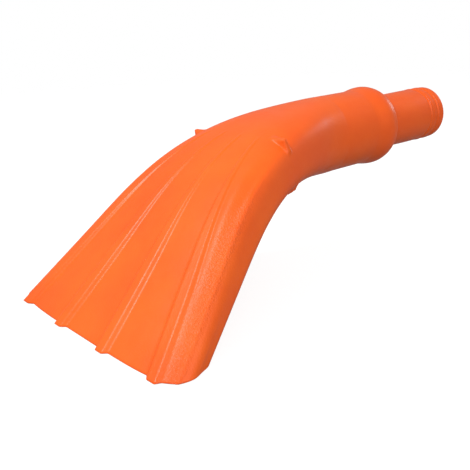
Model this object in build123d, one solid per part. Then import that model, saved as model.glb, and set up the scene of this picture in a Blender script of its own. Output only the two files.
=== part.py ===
from build123d import *
import math
import os

# Vacuum claw nozzle: a moulded claw and handle in one shell, with a hose spigot
# that turns in the handle's end. Millimetres. +X runs along the handle towards the
# hose, +Z is up, and the mouth lies flat on z = 0.

# Handle and hose end
barrel_r = 25.4            # 2 inch handle barrel
barrel_len = 64.0          # from the start of the bend to the barrel's rim
wall = 2.5
spigot_r = 19.05           # 1 1/2 inch hose spigot
spigot_len = 65.0          # outside the barrel's rim
axis_height = 81.5         # handle axis above the mouth plane
spigot_bore_r = 16.5
waist_r = 18.6             # where the spigot leaves the barrel
journal_len = 24.0         # part of the spigot held inside the barrel
groove_r = 24.9            # groove in the barrel for the snap bead
groove_flat, groove_slope = 3.0, 2.0
snap_flat = 2.0            # half width of the bead that sits in the groove
collar_len, collar_round = 1.9, 0.6   # collar that carries the nose's rounding past the rim
collar_r = 20.5
neck_len, taper_len = 3.3, 5.0        # from the rim to the waist, and up to full size again
hinge_gap = 0.05           # radial running gap of the swivel

# Bulge that holds the swivel's snap bead, and the nose beyond it
bulge_start = 22.1         # distances back from the barrel's rim
bulge_crest = 8.3
bulge_fall = 4.0
bulge_r, fall_r, rim_r = 27.6, 27.0, 25.0
rim_slope = -0.77

# Beads near the hose end of the spigot
bead_places = (6.5, 15.0)  # from the spigot's open end; a groove runs on each side
bead_half_width = 0.8
groove_depth, groove_width = 0.5, 1.0
mouth_round = 3.0

# Claw: the centre line bends down, then runs straight to the mouth
bend_angle = 41.5
bend_start = 2.5
bend_len = 130.0
claw_ref = 200.0           # path length where the widths below are reached
half_width = 82.0
half_depth = 12.5
corner_power = 4.0         # 2 is an ellipse, more is squarer
under_power = 9.0          # the underside is flatter, so that the rear lip is straight
under_share = 0.92         # and not as deep as the ribbed side
under_len = 60.0           # path length where it has become so
width_ease, depth_ease, corner_ease = 0.98, 0.72, 0.42    # how evenly each one grows
corner_limit = 1.2                                        # share of claw_ref where it stops
outline_points = 40
claw_past_mouth = 245.0    # the shell is built past the mouth and cut flat
claw_seam_r = 25.1         # claw's radius where it starts, just inside the barrel
claw_stations = (-6, 0, 12, 30, 50, 75, 100, 130, 165, 205, claw_past_mouth)

# Ribs on the claw's outer face
rib_pitch = 44.5           # at claw_ref; the ribs fan out along the path
rib_ease = 0.92
rib_places = (-1.5, -0.5, 0.5, 1.5)
rib_base, rib_top, rib_rise = 11.0, 4.0, 1.8
rib_slope = 2.6            # how far a rib's base reaches past its top at the neck
rib_grow_len = 40.0        # the ribs rise to full size over this length
rib_stations = (60.0, 75.0, 95.0, 120.0, 150.0, 190.0, 230.0)

# Four small lugs round the neck: each fills a shoulder's rounding out to a corner
lug_path = 56.0
lug_thick = 4.5
lug_inner, lug_corner, lug_outer = 28.0, 39.0, 41.5       # half widths
lug_top, lug_foot = 17.0, 8.0                             # heights of corner and foot
lug_root = 5.0                                            # depth rooted in the shell

cut_size = 600.0           # block that cuts the mouth flat
cut_align = (Align.CENTER, Align.CENTER, Align.MAX)

os.makedirs("parts", exist_ok=True)


def bend_at(path):
    """Angle of the centre line below the handle axis, in radians."""
    share = min(max((path - bend_start) / bend_len, 0.0), 1.0)
    return math.radians(bend_angle) * share * share * (3 - 2 * share)


def centre_at(path, step=0.5):
    """Point (x, z) of the centre line, measured from the start of the bend."""
    count = max(1, round(path / step))
    x = z = 0.0
    for i in range(count):
        angle = bend_at(path * (i + 0.5) / count)
        x -= math.cos(angle) * path / count
        z -= math.sin(angle) * path / count
    return x, z


def half_sizes(path):
    """Half width, half depth and corner power of the claw's section on its ribbed side."""
    share = max(path, 0) / claw_ref
    width = claw_seam_r + (half_width - claw_seam_r) * share ** width_ease
    depth = claw_seam_r - (claw_seam_r - half_depth) * min(share, 1) ** depth_ease
    power = 2 + (corner_power - 2) * min(share, corner_limit) ** corner_ease
    return width, depth, power


def underside(path, depth, power):
    """Half depth and corner power of the other side of the section."""
    share = max(path, 0) / claw_ref
    depth *= 1 - (1 - under_share) * min(share * claw_ref / under_len, 1)
    return depth, power + (under_power - corner_power) * min(share, 1)


def section_plane(path):
    """Plane across the claw: local x is the width, local y points to the ribbed side."""
    x, z = centre_at(path)
    angle = bend_at(path)
    forward = (-math.cos(angle), 0, -math.sin(angle))
    return Plane(origin=(x, 0, z), x_dir=(0, 1, 0), z_dir=tuple(-v for v in forward))


def section_edge(path, inset=0.0):
    """Closed outline of the claw at one path length, as a superellipse in two halves."""
    width, depth, power = half_sizes(path)
    plane = section_plane(path)
    outline = []
    for i in range(outline_points):
        turn = 2 * math.pi * i / outline_points
        c, s = math.cos(turn), math.sin(turn)
        deep, corner = (depth, power) if s >= 0 else underside(path, depth, power)
        reach = (abs(c) ** corner + abs(s) ** corner) ** (-1 / corner)
        point = Vector((width - inset) * c * reach, (deep - inset) * s * reach, 0)
        outline.append(plane.from_local_coords(point))
    return Edge.make_spline(outline, periodic=True)


def claw_solid(inset=0.0):
    return Solid.make_loft([Wire([section_edge(path, inset)]) for path in claw_stations])


def surface_height(path, side):
    """Height of the ribbed face above the section's middle at one offset."""
    width, depth, power = half_sizes(path)
    return depth * (1 - min(abs(side) / width, 0.999) ** power) ** (1 / power)


def rib(place):
    """One raised rib: a trapezium carried along the fan line of its place."""
    wires = []
    for path in rib_stations:
        grow = min(1.0, 0.2 + (path - rib_stations[0]) / rib_grow_len)
        side = place * rib_pitch * (path / claw_ref) ** rib_ease
        top = rib_top * grow / 2
        base = top + rib_slope + (rib_base / 2 - rib_top / 2 - rib_slope) * grow
        crest = surface_height(path, side) + rib_rise * grow
        corners = [
            (side - base, surface_height(path, side - base) - wall / 2),
            (side - top, crest),
            (side + top, crest),
            (side + base, surface_height(path, side + base) - wall / 2),
        ]
        plane = section_plane(path)
        points = [plane.from_local_coords(Vector(u, v, 0)) for u, v in corners]
        wires.append(Wire.make_polygon(points, close=True))
    return Solid.make_loft(wires)


def lug(side, face):
    """One lug: side is -1 or 1 across the claw, face is 1 ribbed side, -1 underside."""
    corners = [
        (side * lug_inner, face * (surface_height(lug_path, lug_inner) - wall / 2)),
        (side * lug_inner, face * lug_top),
        (side * lug_corner, face * lug_top),
        (side * lug_outer, face * lug_foot),
        (side * (lug_outer - lug_root), face * lug_foot),
    ]
    plane = section_plane(lug_path)
    points = [plane.from_local_coords(Vector(u, v, 0)) for u, v in corners]
    face_shape = Face(Wire.make_polygon(points, close=True))
    return extrude(face_shape, lug_thick / 2, dir=plane.z_dir, both=True)


def turned(profile):
    """Solid of revolution about the handle axis from (x, radius) points."""
    return revolve(make_face(Plane.XZ * Polyline(*profile, close=True)), Axis.X)


def barrel_outer():
    """Handle barrel with its bulge and falling nose; x = 0 is the start of the bend."""
    end = barrel_len
    outline = Polyline((0, 0), (0, barrel_r), (end - bulge_start, barrel_r))
    bulge = Spline(
        (end - bulge_start, barrel_r),
        (end - bulge_crest, bulge_r),
        (end - bulge_fall, fall_r),
        (end, rim_r),
        tangents=[(1, 0), (1, rim_slope)],
    )
    close = Polyline((end, rim_r), (end, 0), (0, 0))
    return revolve(Plane.XZ * make_face(outline + bulge + close), Axis.X)


def barrel_bore():
    """Hollow of the barrel: a bore with a groove for the snap bead."""
    bore = barrel_r - wall
    groove = barrel_len - bulge_crest
    outside = barrel_len + 1
    return turned([
        (0, 0), (0, bore),
        (groove - groove_flat - groove_slope, bore), (groove - groove_flat, groove_r),
        (groove + groove_flat, groove_r), (groove + groove_flat + groove_slope, bore),
        (outside, bore), (outside, 0),
    ])


def nozzle_body():
    shell = barrel_outer() + claw_solid()
    for place in rib_places:
        shell += rib(place)
    for side in (-1, 1):
        for face in (-1, 1):
            shell += lug(side, face)
    shell -= barrel_bore() + claw_solid(wall)
    below = Pos(0, 0, -axis_height) * Box(cut_size, cut_size, cut_size, align=cut_align)
    return shell - below


def hose_spigot():
    """Spigot with its journal inside the barrel, snap bead, and beads at the hose end."""
    journal = barrel_r - wall - hinge_gap
    start = barrel_len - journal_len
    groove = barrel_len - bulge_crest
    tip = barrel_len + spigot_len
    profile = [
        (start, spigot_bore_r), (start, journal - 1), (start + 1, journal),
        (groove - snap_flat - groove_slope, journal), (groove - snap_flat, groove_r - hinge_gap),
        (groove + snap_flat, groove_r - hinge_gap), (groove + snap_flat + groove_slope, journal),
        (barrel_len + collar_len, journal), (barrel_len + collar_len + collar_round, collar_r),
        (barrel_len + neck_len, waist_r), (barrel_len + neck_len + taper_len, spigot_r),
    ]
    for place in sorted(bead_places, reverse=True):
        low, high = tip - place - bead_half_width, tip - place + bead_half_width
        profile += [
            (low - groove_width, spigot_r), (low - groove_width / 2, spigot_r - groove_depth),
            (low, spigot_r), (high, spigot_r),
            (high + groove_width / 2, spigot_r - groove_depth), (high + groove_width, spigot_r),
        ]
    profile += [
        (tip - mouth_round, spigot_r), (tip - mouth_round * 0.3, spigot_r - mouth_round * 0.3),
        (tip, spigot_r - mouth_round * 0.8), (tip, spigot_bore_r),
    ]
    return turned(profile)


body = nozzle_body()
spigot = hose_spigot()
low = min(body.bounding_box().min.X, spigot.bounding_box().min.X)
high = max(body.bounding_box().max.X, spigot.bounding_box().max.X)
home = Pos(-(low + high) / 2, 0, axis_height)
for name, shape in (("nozzle_body", body), ("hose_spigot", spigot)):
    export_step(home * shape, f"parts/{name}.step")
print("handle axis height", axis_height, "x shift", -(low + high) / 2, "length", high - low)
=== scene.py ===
"""Looks of a moulded vacuum claw nozzle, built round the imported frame.

Lengths are in millimetres in the handle's own frame until a mesh is made: x = 0 is
where the bend starts on the handle's axis, +X runs to the hose and +Z to the ribs.
"Path" is the distance along the claw's centre line from there, and "turn" is an
angle on a section, which is 0 at one side and a quarter turn on the ribbed face.
"""

import math

import bpy
import numpy as np
from mathutils import Matrix, Vector


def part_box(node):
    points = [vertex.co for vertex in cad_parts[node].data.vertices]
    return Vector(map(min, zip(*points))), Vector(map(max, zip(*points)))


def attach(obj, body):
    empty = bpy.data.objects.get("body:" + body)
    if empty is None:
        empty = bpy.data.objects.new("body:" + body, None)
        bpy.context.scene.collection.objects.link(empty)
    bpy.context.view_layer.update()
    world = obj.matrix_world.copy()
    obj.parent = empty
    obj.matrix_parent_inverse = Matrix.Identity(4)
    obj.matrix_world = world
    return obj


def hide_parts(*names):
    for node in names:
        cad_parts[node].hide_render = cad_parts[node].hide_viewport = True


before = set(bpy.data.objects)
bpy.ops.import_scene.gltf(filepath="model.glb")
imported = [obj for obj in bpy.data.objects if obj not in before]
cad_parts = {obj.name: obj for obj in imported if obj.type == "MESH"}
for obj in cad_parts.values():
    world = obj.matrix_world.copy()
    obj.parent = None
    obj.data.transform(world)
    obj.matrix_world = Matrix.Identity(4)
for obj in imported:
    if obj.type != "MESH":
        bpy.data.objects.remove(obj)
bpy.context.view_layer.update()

# ---------------------------------------------------------------- barrel and spigot
BARREL_R = 25.4
BARREL_LEN = 64.0              # from the start of the bend to the rim
WALL = 2.5
BORE_R = BARREL_R - WALL
RIM_CHAMFER = 0.2
RIM_EDGE = ((0, 0.5), (0.05, 0.25), (0.3, 0))    # back from the rim, in from the nose

BULGE_START = 41.9
BULGE_CREST = 55.7
BULGE_R = 27.1
NOSE_END = 66.5                # the rounding of the nose runs on over the spigot's collar
NOSE_R = 20.5                  # and ends at this radius
BAND_START = 60.2              # a fine groove sets off the rounded band at the rim
BAND_GROOVE = 0.15
BAND_SPREAD = 0.6

SPIGOT_R = 19.05
SPIGOT_LEN = 65.0              # outside the barrel's rim
SPIGOT_BORE_R = 16.5
SPIGOT_TURNS = 240
JOURNAL_LEN = 24.0             # inside the barrel
JOURNAL_GAP = 0.1
SNAP_BEAD = (8, 10, 12, 14)    # foot, top, top and foot, from the journal's end
SNAP_RISE = 2.0
WAIST_R = 18.65                # the tail where it leaves the collar
WAIST_ROUND = 1.4
TAPER_LEN = 34.0               # the tail is back at full size this far from the nose
TAIL_LINES = (6.5, 15.0)       # moulded beads round the tail, from its open end
LINE_RISE = 0.3                # their height, and the depth of the grooves beside them
LINE_SPREAD = 0.7
LINE_GROOVE = 1.6              # from a bead to its grooves
MOUTH_EDGE = 1.2               # rounding of the tail's open end
QUARTER = [math.pi / 16 * k for k in range(9)]    # steps of each rounded edge

# ---------------------------------------------------------------- claw
BEND = math.radians(41.5)      # the centre line turns down by this
BEND_START = 2.5
BEND_LEN = 130.0
LINE_STEP = 0.125
LINE_END = 262.0               # the centre line is worked out this far
EASE_LEN = 12.0                # the claw grows out of the barrel over twice this length
CLAW_REF = 200.0               # path length where the sizes below are reached
HALF_WIDTH = 82.0
HALF_DEPTH = 12.5
CORNER_POWER = 4.0             # superellipse power on the ribbed side
UNDER_POWER = 4.6              # and on the underside
WIDTH_EASE, DEPTH_EASE, CORNER_EASE = 0.98, 0.72, 0.42    # how evenly each one grows
CORNER_LIMIT = 1.2             # share of CLAW_REF where the corners stop changing
UNDER_SHARE = 0.92             # the underside's depth as a share of the ribbed side's
UNDER_LEN = 60.0               # path length where it has become so
MOUTH_ROUND = 0.7              # height of the rounded lip
RINGS_AT_LIP = 9
MOUTH_BETWEEN = (120.0, 250.0)    # path lengths that the mouth lies between
MOUTH_HALVINGS = 30

RIB_PLACES = (1.5, 0.5, -0.5, -1.5)
RIB_PITCH = 44.5
RIB_EASE = 0.92
RIB_START = 56.0
RIB_RUN_IN = 10.0              # a rib starts from nothing over this length
# Each of these is a size at the neck, the full size, and the start and length of its growth
RIB_TOP = (0.4, 2.5, RIB_START, 110.0)        # half width of a rib's top
RIB_SIDE = (1.1, 3.6, RIB_START, 120.0)       # width of each sloping side
RIB_RISE = (0.35, 1.9, 60.0, 110.0)
CREST_ANGLE = (47.5, 43.0, 80.0, 80.0)        # of each shoulder's inner crest, in degrees

CREST_RISE, CREST_SPREAD = 0.8, 4.0
GROOVE_DEPTH, GROOVE_SPREAD, GROOVE_BELOW = 0.4, 3.0, 9.0    # the groove under that crest
OUTER_RISE, OUTER_SPREAD, OUTER_ANGLE = 0.6, 5.0, 33.0       # the outer crest
SHOULDER_START, SHOULDER_LEN = 62.0, 40.0
GRAIN_ANGLE, GRAIN_SPREAD = 34.0, 8.0         # a stippled strip runs along the outer crest
GRAIN_START, GRAIN_LEN = 80.0, 40.0
SIDE_SWELL = 1.6                              # the ends of the mouth are fuller
SWELL_ANGLE, SWELL_SPREAD = 6.0, 16.0
SWELL_START, SWELL_LEN = 110.0, 90.0

# Lugs round the neck: side of the claw, side of the section (1 ribbed), path length, half
# thickness, softness of its edges, then the corner and a lower point of its outer edge
LUGS = (
    (-1, 1, 55.5, 1.7, 2.0, (39.0, 18.4), (41.6, 8.0)),
    (1, 1, 58.5, 1.7, 2.0, (39.8, 17.2), (42.0, 6.0)),
    (-1, -1, 56.0, 5.0, 5.0, (35.6, 16.2), (40.2, 8.0)),
    (1, -1, 56.0, 5.0, 5.0, (35.6, 16.2), (40.2, 8.0)),
)
LUG_FADE = 3.0                 # height over which a lug fades out at its foot

# ---------------------------------------------------------------- looks
DEEP_ORANGE = (0.83, 0.102, 0.009, 1)
WARM_ORANGE = (0.88, 0.130, 0.011, 1)
MOTTLE_SCALE = 16
GLOSS_SCALE = 120
ROUGHNESS = (0.34, 0.41)
SKIN_SCALE = 1000
PEEL_SHARE = 0.16              # height of the orange peel as a share of the stipple's
SKIN_DEPTH = 0.0008            # in metres
FLOOR_GREY = (0.3, 0.3, 0.3, 1)
FLOOR_GLOW = 0.85
FLOOR_RADIUS = 3
FLOOR_FADE = (0.45, 1.3)       # distances in metres between which the floor fades out
SKY_LIGHT = 0.38
WHITE = (1, 1, 1, 1)

# Softboxes: name, place and target in metres in the row's frame, size and watts
SOFTBOXES = (
    ("key", (-0.64, 0.17, 0.90), (0, 0, 0.05), (0.35, 0.3), 9.0),
    ("fill", (-0.35, -1.1, 0.62), (0, 0, 0.05), (1.4, 1.0), 10.0),
    ("rim", (1.01, 0.05, 0.31), (0.1, 0, 0.08), (0.15, 0.15), 0.8),
)
CAMERA_ANGLES = (-40.0507, 18.4257, -2.6954)    # turn, tilt and roll in degrees
CAMERA_AT = (-334.37, -317.72, 86.92)
CAMERA_LENS = 53.33

# ---------------------------------------------------------------- the frame's places
spigot_low, spigot_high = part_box("hose_spigot")
AXIS_Z = 500 * (spigot_low.z + spigot_high.z)
HOME_X = 1000 * spigot_high.x - (BARREL_LEN + SPIGOT_LEN)
LIP_Z = MOUTH_ROUND - AXIS_Z


def to_frame(points):
    """Handle-frame millimetres to the row frame's metres."""
    return (np.asarray(points) + (HOME_X, 0, AXIS_Z)) / 1000


# ---------------------------------------------------------------- small maths
def smooth(t):
    t = np.clip(t, 0, 1)
    return t * t * (3 - 2 * t)


def ramp(value, start, length):
    return smooth((value - start) / length)


def grown(size, path):
    first, full, start, length = size
    return first + (full - first) * ramp(path, start, length)


def signed_power(value, power):
    return np.sign(value) * np.abs(value) ** power


def bump(value, centre, spread):
    return np.exp(-((value - centre) / spread) ** 2)


def lift_angle(turn):
    """Degrees from the section's sides: 90 in the middle of the ribbed face."""
    return np.degrees(np.arcsin(np.clip(np.sin(turn), -1, 1)))


# ---------------------------------------------------------------- claw surface
def bend_at(path):
    return BEND * ramp(path, BEND_START, BEND_LEN)


LINE_PATH = np.arange(-EASE_LEN, LINE_END, LINE_STEP)
line_mid = bend_at(LINE_PATH[:-1] + LINE_STEP / 2)
LINE_X = EASE_LEN - np.concatenate([[0], np.cumsum(np.cos(line_mid)) * LINE_STEP])
LINE_Z = -np.concatenate([[0], np.cumsum(np.sin(line_mid)) * LINE_STEP])


def claw_sizes(path):
    """Half width, half depth and corner power on the ribbed side, then on the underside."""
    eased = (np.clip(path, -EASE_LEN, EASE_LEN) + EASE_LEN) ** 2 / (4 * EASE_LEN)
    path = np.where(path < EASE_LEN, eased, path)
    share = path / CLAW_REF
    width = BARREL_R + (HALF_WIDTH - BARREL_R) * share ** WIDTH_EASE
    depth = BARREL_R - (BARREL_R - HALF_DEPTH) * np.minimum(share, 1) ** DEPTH_EASE
    power = 2 + (CORNER_POWER - 2) * np.minimum(share, CORNER_LIMIT) ** CORNER_EASE
    under_depth = depth * (1 - (1 - UNDER_SHARE) * np.clip(path / UNDER_LEN, 0, 1))
    under_power = power + (UNDER_POWER - CORNER_POWER) * np.clip(share, 0, 1)
    return width, depth, power, under_depth, under_power


def section(path, turn, inset=0.0):
    """Section point (u, v) at an angle on the unit superellipse, and its outward normal."""
    width, depth, power, under_depth, under_power = claw_sizes(path)
    c, s = np.cos(turn), np.sin(turn)
    deep = np.where(s >= 0, depth, under_depth) - inset
    wide = width - inset
    corner = np.where(s >= 0, power, under_power)
    reach = (np.abs(c) ** corner + np.abs(s) ** corner) ** (-1 / corner)
    u, v = wide * c * reach, deep * s * reach
    nu = signed_power(c * reach, corner - 1) / wide
    nv = signed_power(s * reach, corner - 1) / deep
    size = np.hypot(nu, nv)
    return u, v, nu / size, nv / size


def place(path, u, v):
    """Section coordinates to handle-frame points."""
    angle = bend_at(path)
    x = np.interp(path, LINE_PATH, LINE_X) - np.sin(angle) * v
    z = np.interp(path, LINE_PATH, LINE_Z) + np.cos(angle) * v
    return np.stack([x, u, z], -1)


# ---------------------------------------------------------------- ribs, shoulders, lugs
def rib_pitch(path):
    return RIB_PITCH * (np.maximum(path, 1) / CLAW_REF) ** RIB_EASE


def rib_base(path):
    """Half width of a rib at its foot."""
    return grown(RIB_TOP, path) + grown(RIB_SIDE, path)


def rib_height(path, u):
    """Height of the ribs over the smooth face."""
    top, base = grown(RIB_TOP, path), rib_base(path)
    total = 0.0
    for where in RIB_PLACES:
        side = np.abs(u - where * rib_pitch(path))
        total = total + smooth((base - side) / (base - top))
    return grown(RIB_RISE, path) * ramp(path, RIB_START, RIB_RUN_IN) * total


def shoulder_height(path, turn):
    """Two soft crests along each shoulder, with a groove between them."""
    lift = lift_angle(turn)
    crest = grown(CREST_ANGLE, path)
    shape = CREST_RISE * bump(lift, crest, CREST_SPREAD)
    shape = shape - GROOVE_DEPTH * bump(lift, crest - GROOVE_BELOW, GROOVE_SPREAD)
    shape = shape + OUTER_RISE * bump(lift, OUTER_ANGLE, OUTER_SPREAD)
    return shape * ramp(path, SHOULDER_START, SHOULDER_LEN)


def shoulder_grain(path, turn):
    """How stippled the skin is along the outer crest of each shoulder, from 0 to 1."""
    return bump(lift_angle(turn), GRAIN_ANGLE, GRAIN_SPREAD) * ramp(path, GRAIN_START, GRAIN_LEN)


def side_swell(path, turn):
    """The ends of the mouth are fuller than the superellipse."""
    swell = SIDE_SWELL * bump(lift_angle(turn), SWELL_ANGLE, SWELL_SPREAD)
    return swell * ramp(path, SWELL_START, SWELL_LEN)


def lug_stretch(path, u, v):
    """How far each lug stretches the section away from its middle, as a factor."""
    stretch = np.ones_like(u)
    for side, face, at, half, soft, corner, lower in LUGS:
        out, up = np.maximum(side * u, 1e-6), np.maximum(face * v, 1e-6)
        slope_out, slope_up = corner[1] - lower[1], lower[0] - corner[0]
        limit = slope_out * corner[0] + slope_up * corner[1]
        reach = np.minimum(corner[1] / up, limit / (slope_out * out + slope_up * up))
        along = smooth((half + soft / 2 - np.abs(path - at)) / soft)
        grow = np.maximum(reach - 1, 0) * smooth((up - lower[1]) / LUG_FADE) * along
        stretch = stretch + np.where((side * u > 0) & (face * v > 0), grow, 0)
    return stretch


def outer_point(path, turn):
    """A point of the claw's outer skin."""
    u, v, nu, nv = section(path, turn)
    ribbed = np.sin(turn) > 0
    lift = np.where(ribbed, rib_height(path, u) + shoulder_height(path, turn), 0)
    lift = lift + side_swell(path, turn)
    stretch = lug_stretch(path, u, v)
    return place(path, u * stretch + nu * lift, v * stretch + nv * lift)


def inner_point(path, turn):
    """A point of the claw's inside."""
    u, v, _, _ = section(path, turn, WALL)
    return place(path, u, v)


# ---------------------------------------------------------------- columns of the grid
PANEL_COLUMNS = 22
SHOULDER_COLUMNS = 64
UNDER_COLUMNS = 150
RIB_OFFSETS = np.concatenate([np.linspace(-1, -0.35, 9), np.linspace(-0.2, 0.2, 5),
                              np.linspace(0.35, 1, 9)])
RIB_LEAD = 4.0                 # the columns follow the ribs from this far before them


def face_fan():
    """Columns across the ribbed face: two (rib place, offset) pairs to blend, and a share."""
    rows = []
    for where, following in zip(RIB_PLACES, RIB_PLACES[1:] + (None,)):
        rows += [(where, -offset, where, -offset, 0.0) for offset in RIB_OFFSETS]
        if following is not None:
            for k in range(1, PANEL_COLUMNS):
                rows.append((where, -1, following, 1, k / PANEL_COLUMNS))
    return np.array(rows)


FAN = face_fan()
FACE_START, FACE_END = SHOULDER_COLUMNS, SHOULDER_COLUMNS + len(FAN)
UNDER_START = FACE_END + SHOULDER_COLUMNS
COLUMNS = UNDER_START + UNDER_COLUMNS


def turn_of(path, u):
    """The section angle on the ribbed side where the half width coordinate is u."""
    width, _, power, _, _ = claw_sizes(path)
    c = np.clip(u / width, -0.999, 0.999)
    s = (1 - np.abs(c) ** power) ** (1 / power)
    return np.arctan2(s, c)


def shoulder_edge(path, side):
    """The section angle where the outermost rib ends."""
    return turn_of(path, side * (RIB_PLACES[0] * rib_pitch(path) + rib_base(path)))


def fan_turns(path):
    """Angles of all columns at a path length of its own for each, following the ribs."""
    path = np.broadcast_to(path, (len(path), COLUMNS))
    held = np.maximum(path, RIB_START - RIB_LEAD)
    turns = np.empty(path.shape)
    middle = held[:, FACE_START:FACE_END]
    pitch, base = rib_pitch(middle), rib_base(middle)
    first = FAN[:, 0] * pitch + FAN[:, 1] * base
    second = FAN[:, 2] * pitch + FAN[:, 3] * base
    turns[:, FACE_START:FACE_END] = turn_of(middle, first + (second - first) * FAN[:, 4])
    share = np.arange(SHOULDER_COLUMNS) / SHOULDER_COLUMNS
    turns[:, :FACE_START] = shoulder_edge(held[:, :FACE_START], 1) * share
    far_edge = shoulder_edge(held[:, FACE_END:UNDER_START], -1)
    far_share = share + 1 / SHOULDER_COLUMNS
    turns[:, FACE_END:UNDER_START] = far_edge + (math.pi - far_edge) * far_share
    under = math.pi * (1 + np.arange(1, UNDER_COLUMNS + 1) / (UNDER_COLUMNS + 1))
    turns[:, UNDER_START:] = under
    even = np.concatenate([np.linspace(0, math.pi, UNDER_START), under])
    return even + (turns - even) * smooth(path / RIB_START)


def mouth_path(point, height):
    """Path length of every column where the given skin reaches a height."""
    low, high = (np.full((1, COLUMNS), end) for end in MOUTH_BETWEEN)
    for _ in range(MOUTH_HALVINGS):
        middle = (low + high) / 2
        above = point(middle, fan_turns(middle))[..., 2] > height
        low, high = np.where(above, middle, low), np.where(above, high, middle)
    return (low + high) / 2


# ---------------------------------------------------------------- rings of the grid
EVEN_UNTIL = 90.0              # past this, each column's rings stretch to its own mouth
LUG_SPAN = (50, 62)            # the rings are closer here
OUTER_RINGS = np.concatenate([np.arange(-EASE_LEN, LUG_SPAN[0], 1.0),
                              np.arange(*LUG_SPAN, 0.4),
                              np.linspace(LUG_SPAN[1], CLAW_REF, 120)])
INNER_RINGS = np.linspace(-EASE_LEN, CLAW_REF, 75)
NOSE_RINGS, BULGE_RINGS, BARREL_RINGS, COLLAR_RINGS = 30, 18, 20, 22
BORE_RINGS = (EASE_LEN + 3, 24, BARREL_LEN - 6, BARREL_LEN - 0.6)    # places along the axis
TAIL_STEP = 0.25


def stretched(rings, end):
    """Path lengths of every column, spread so that each ends at its own mouth length."""
    span = (end - EVEN_UNTIL) / (rings[-1] - EVEN_UNTIL)
    path = rings[:, None] + np.zeros((1, COLUMNS))
    return np.where(path > EVEN_UNTIL, EVEN_UNTIL + (path - EVEN_UNTIL) * span, path)


def ring_points(profile, turns):
    """Rings of revolution about the handle's axis from (x, radius) pairs."""
    x, r = np.array(profile).T[:, :, None]
    return np.stack([x + 0 * turns, r * np.cos(turns), r * np.sin(turns)], -1)


def nose_radius(x):
    """A quarter ellipse from the bulge's crest to the end of the nose."""
    share = (x - BULGE_CREST) / (NOSE_END - BULGE_CREST)
    return NOSE_R + (BULGE_R - NOSE_R) * math.sqrt(max(1 - share * share, 0))


def barrel_profile():
    """(x, radius) of the barrel from its rim back to the start of the claw's growth."""
    edge_len = RIM_EDGE[-1][0]
    edge = nose_radius(BARREL_LEN - edge_len)
    points = [(BARREL_LEN, BORE_R + RIM_CHAMFER)]
    points += [(BARREL_LEN - back, edge - inward) for back, inward in RIM_EDGE]
    for x in np.linspace(BARREL_LEN - 2 * edge_len, BULGE_CREST, NOSE_RINGS):
        points.append((x, nose_radius(x) - BAND_GROOVE * bump(x, BAND_START, BAND_SPREAD)))
    for x in np.linspace(BULGE_CREST, BULGE_START, BULGE_RINGS)[1:]:
        lift = ramp(x, BULGE_START, BULGE_CREST - BULGE_START)
        points.append((x, BARREL_R + (BULGE_R - BARREL_R) * lift))
    for x in np.linspace(BULGE_START, EASE_LEN, BARREL_RINGS)[1:-1]:
        points.append((x, BARREL_R))
    return points


def lip_rings(outside, inside):
    """Rings round the lip of the mouth, from the outer skin's last to the inner's first."""
    rings = []
    for k in range(1, RINGS_AT_LIP):
        t = math.pi * k / RINGS_AT_LIP
        ring = outside + (inside - outside) * (1 - math.cos(t)) / 2
        ring[:, 2] = LIP_Z - MOUTH_ROUND * math.sin(t)
        rings.append(ring)
    return np.array(rings)


def nozzle_rows():
    """All rings of the nozzle body, and their grain.

    They are made from the rim along the outside to the mouth, round the lip and back
    inside, and handed over the other way round so that the faces point outward."""
    outer_path = stretched(OUTER_RINGS, mouth_path(outer_point, LIP_Z))
    inner_path = stretched(INNER_RINGS, mouth_path(inner_point, LIP_Z))[::-1]
    outer = outer_point(outer_path, fan_turns(outer_path))
    inner = inner_point(inner_path, fan_turns(inner_path))
    turns = fan_turns(np.full((1, COLUMNS), -EASE_LEN))[0]
    barrel = ring_points(barrel_profile(), turns)
    bore = ring_points([(x, BORE_R) for x in BORE_RINGS], turns)
    rows = np.concatenate([barrel, outer, lip_rings(outer[-1], inner[0]), inner, bore])
    grain = np.zeros(rows.shape[:2])
    skin = slice(len(barrel), len(barrel) + len(outer))
    grain[skin] = shoulder_grain(outer_path, fan_turns(outer_path))
    return rows[::-1], grain[::-1]


def tail_radius(x, end):
    """Radius along the tail: a waist, then full size with two beads between grooves."""
    radius = WAIST_R + (SPIGOT_R - WAIST_R) * ramp(x, NOSE_END, TAPER_LEN)
    for line in TAIL_LINES:
        centre = end - line
        for offset, rise in ((0, LINE_RISE), (-LINE_GROOVE, -LINE_RISE),
                             (LINE_GROOVE, -LINE_RISE)):
            radius = radius + rise * bump(x, centre + offset, LINE_SPREAD)
    return radius


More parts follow.
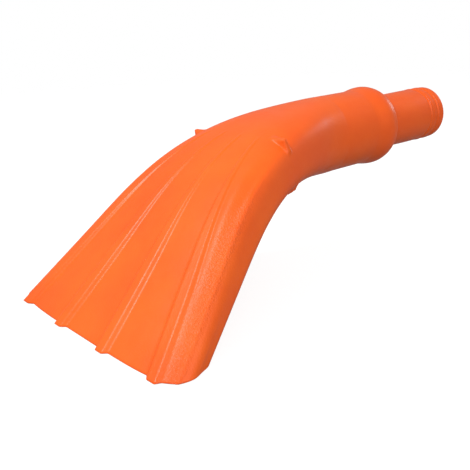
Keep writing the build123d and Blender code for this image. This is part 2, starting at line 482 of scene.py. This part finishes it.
def spigot_rows():
    """The swivelling hose tail: journal inside the barrel, collar, waist, tail and mouth."""
    start, end = BARREL_LEN - JOURNAL_LEN, BARREL_LEN + SPIGOT_LEN
    journal = BORE_R - JOURNAL_GAP
    bead = [start + at for at in SNAP_BEAD]
    points = [(start + 0.4, SPIGOT_BORE_R + 0.6), (start, SPIGOT_BORE_R + 1.2),
              (start, journal - 0.9), (start + 0.9, journal),
              (bead[0], journal), (bead[1], journal + SNAP_RISE),
              (bead[2], journal + SNAP_RISE), (bead[3], journal)]
    for x in np.linspace(BARREL_LEN - 1, NOSE_END, COLLAR_RINGS):
        points.append((x, min(journal, nose_radius(x))))
    for t in QUARTER[1:]:
        points.append((NOSE_END + WAIST_ROUND * (1 - math.cos(t)),
                       NOSE_R - (NOSE_R - WAIST_R) * math.sin(t)))
    for x in np.arange(NOSE_END + WAIST_ROUND + 2 * TAIL_STEP, end - MOUTH_EDGE, TAIL_STEP):
        points.append((x, tail_radius(x, end)))
    for t in QUARTER:
        points.append((end - MOUTH_EDGE * (1 - math.sin(t)),
                       SPIGOT_R - MOUTH_EDGE * (1 - math.cos(t))))
    points += [(end, SPIGOT_BORE_R + 0.7), (end - 0.2, SPIGOT_BORE_R + 0.2),
               (end - 0.7, SPIGOT_BORE_R), (end - 30, SPIGOT_BORE_R),
               (start + 20, SPIGOT_BORE_R)]
    turns = np.arange(SPIGOT_TURNS) * 2 * math.pi / SPIGOT_TURNS
    rows = ring_points(points, turns)
    return rows, np.zeros(rows.shape[:2])


# ---------------------------------------------------------------- meshes
def closed_grid(name, rows, grain, body, slot, material):
    """A closed mesh from rings of points that wrap round both ways.

    grain is how rough the skin is at each point, from 0 to 1."""
    count, around = rows.shape[:2]
    index = np.arange(count * around).reshape(count, around)
    right = np.roll(index, -1, 1)
    faces = np.stack([index, right, np.roll(right, -1, 0), np.roll(index, -1, 0)], -1)
    mesh = bpy.data.meshes.new(name)
    mesh.from_pydata(to_frame(rows.reshape(-1, 3)).tolist(), [], faces.reshape(-1, 4).tolist())
    mesh.polygons.foreach_set("use_smooth", np.ones(len(mesh.polygons), bool))
    mesh.attributes.new("grain", "FLOAT", "POINT").data.foreach_set("value", grain.ravel())
    mesh.update()
    piece = bpy.data.objects.new(name, mesh)
    bpy.context.scene.collection.objects.link(piece)
    piece.data.materials.append(material)
    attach(piece, body)
    return piece


# ---------------------------------------------------------------- materials
def node(tree, kind, **inputs):
    made = tree.nodes.new(kind)
    for name, value in inputs.items():
        made.inputs[name.replace("_", " ")].default_value = value
    return made


def noise(tree, scale, detail, roughness=0.5):
    coords = tree.nodes.new("ShaderNodeTexCoord")
    made = node(tree, "ShaderNodeTexNoise", Scale=scale, Detail=detail, Roughness=roughness)
    tree.links.new(coords.outputs["Object"], made.inputs["Vector"])
    return made.outputs["Fac"]


def remap(tree, value, low, high, to_low, to_high):
    made = tree.nodes.new("ShaderNodeMapRange")
    for name, amount in (("From Min", low), ("From Max", high), ("To Min", to_low),
                         ("To Max", to_high)):
        made.inputs[name].default_value = amount
    tree.links.new(value, made.inputs["Value"])
    return made.outputs["Result"]


def orange_plastic(name):
    """Moulded orange plastic: soft mottling, a fine orange-peel skin and a satin gloss."""
    material = bpy.data.materials.new(name)
    material.use_nodes = True
    tree = material.node_tree
    shader = tree.nodes["Principled BSDF"]
    mix = tree.nodes.new("ShaderNodeMix")
    mix.data_type = "RGBA"
    mix.inputs["A"].default_value = DEEP_ORANGE
    mix.inputs["B"].default_value = WARM_ORANGE
    mottle = remap(tree, noise(tree, MOTTLE_SCALE, 4, 0.6), 0.35, 0.65, 0.0, 1.0)
    tree.links.new(mottle, mix.inputs["Factor"])
    tree.links.new(mix.outputs["Result"], shader.inputs["Base Color"])
    rough = remap(tree, noise(tree, GLOSS_SCALE, 2), 0.3, 0.7, *ROUGHNESS)
    tree.links.new(rough, shader.inputs["Roughness"])
    shader.inputs["Specular IOR Level"].default_value = 0.3
    grain = tree.nodes.new("ShaderNodeAttribute")
    grain.attribute_name = "grain"
    stipple = tree.nodes.new("ShaderNodeMath")
    stipple.operation = "MULTIPLY_ADD"
    tree.links.new(grain.outputs["Fac"], stipple.inputs[0])
    tree.links.new(noise(tree, SKIN_SCALE, 2, 0.7), stipple.inputs[1])
    peel = remap(tree, noise(tree, SKIN_SCALE, 2), 0, 1, 0, PEEL_SHARE)
    tree.links.new(peel, stipple.inputs[2])
    skin_bump = node(tree, "ShaderNodeBump", Strength=0.8, Distance=SKIN_DEPTH)
    tree.links.new(stipple.outputs["Value"], skin_bump.inputs["Height"])
    tree.links.new(skin_bump.outputs["Normal"], shader.inputs["Normal"])
    return material


# ---------------------------------------------------------------- stage, light, camera
def floor():
    """A pale floor that fades into the white behind it. Only the camera sees its glow."""
    bpy.ops.mesh.primitive_circle_add(vertices=96, radius=FLOOR_RADIUS, fill_type="NGON")
    ground = bpy.context.object
    ground.name = "floor"
    material = bpy.data.materials.new("pale_floor")
    material.use_nodes = True
    tree = material.node_tree
    shader = tree.nodes["Principled BSDF"]
    shader.inputs["Base Color"].default_value = FLOOR_GREY
    shader.inputs["Roughness"].default_value = 0.9
    shader.inputs["Specular IOR Level"].default_value = 0.1
    shader.inputs["Emission Color"].default_value = WHITE
    rays = tree.nodes.new("ShaderNodeLightPath")
    glow = remap(tree, rays.outputs["Is Camera Ray"], 0, 1, 0, FLOOR_GLOW)
    tree.links.new(glow, shader.inputs["Emission Strength"])
    coords = tree.nodes.new("ShaderNodeTexCoord")
    distance = tree.nodes.new("ShaderNodeVectorMath")
    distance.operation = "LENGTH"
    tree.links.new(coords.outputs["Object"], distance.inputs[0])
    fade = remap(tree, distance.outputs["Value"], *FLOOR_FADE, 0, 1)
    mix = tree.nodes.new("ShaderNodeMixShader")
    clear = tree.nodes.new("ShaderNodeBsdfTransparent")
    tree.links.new(fade, mix.inputs["Fac"])
    tree.links.new(shader.outputs["BSDF"], mix.inputs[1])
    tree.links.new(clear.outputs["BSDF"], mix.inputs[2])
    tree.links.new(mix.outputs["Shader"], tree.nodes["Material Output"].inputs["Surface"])
    ground.data.materials.append(material)


def sky():
    """White to the camera, a dimmer white as a light."""
    world = bpy.data.worlds.new("studio")
    bpy.context.scene.world = world
    world.use_nodes = True
    tree = world.node_tree
    seen = node(tree, "ShaderNodeBackground", Color=WHITE, Strength=1.0)
    lit = node(tree, "ShaderNodeBackground", Color=WHITE, Strength=SKY_LIGHT)
    rays = tree.nodes.new("ShaderNodeLightPath")
    mix = tree.nodes.new("ShaderNodeMixShader")
    tree.links.new(rays.outputs["Is Camera Ray"], mix.inputs["Fac"])
    tree.links.new(lit.outputs["Background"], mix.inputs[1])
    tree.links.new(seen.outputs["Background"], mix.inputs[2])
    tree.links.new(mix.outputs["Shader"], tree.nodes["World Output"].inputs["Surface"])


def softbox(name, stand, aim, size, watts):
    lamp = bpy.data.lights.new(name, "AREA")
    lamp.shape = "RECTANGLE"
    lamp.size, lamp.size_y = size
    lamp.energy = watts
    made = bpy.data.objects.new(name, lamp)
    made.location = stand
    made.rotation_euler = (Vector(aim) - Vector(stand)).to_track_quat("-Z", "Y").to_euler()
    bpy.context.scene.collection.objects.link(made)


def camera():
    turn, tilt, roll = (math.radians(a) for a in CAMERA_ANGLES)
    forward = Vector((-math.sin(turn) * math.cos(tilt), math.cos(turn) * math.cos(tilt),
                      -math.sin(tilt)))
    level = Vector((math.cos(turn), math.sin(turn), 0))
    upward = level.cross(forward)
    right = level * math.cos(roll) + upward * math.sin(roll)
    up = upward * math.cos(roll) - level * math.sin(roll)
    lens = bpy.data.cameras.new("camera")
    lens.lens = CAMERA_LENS
    lens.clip_start = 0.01
    made = bpy.data.objects.new("camera", lens)
    axes = Matrix((right, up, -forward)).transposed().to_4x4()
    made.matrix_world = Matrix.Translation(to_frame(CAMERA_AT)) @ axes
    bpy.context.scene.collection.objects.link(made)
    bpy.context.scene.camera = made


# ---------------------------------------------------------------- build
plastic = orange_plastic("orange_plastic")
nozzle = closed_grid("claw_shell", *nozzle_rows(), "nozzle", "nozzle_plastic", plastic)
tail = closed_grid("hose_tail", *spigot_rows(), "spigot", "spigot_plastic", plastic)
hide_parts("nozzle_body")
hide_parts("hose_spigot")
floor()
sky()
for box in SOFTBOXES:
    softbox(*box)
camera()
bpy.context.scene.view_settings.view_transform = "Standard"
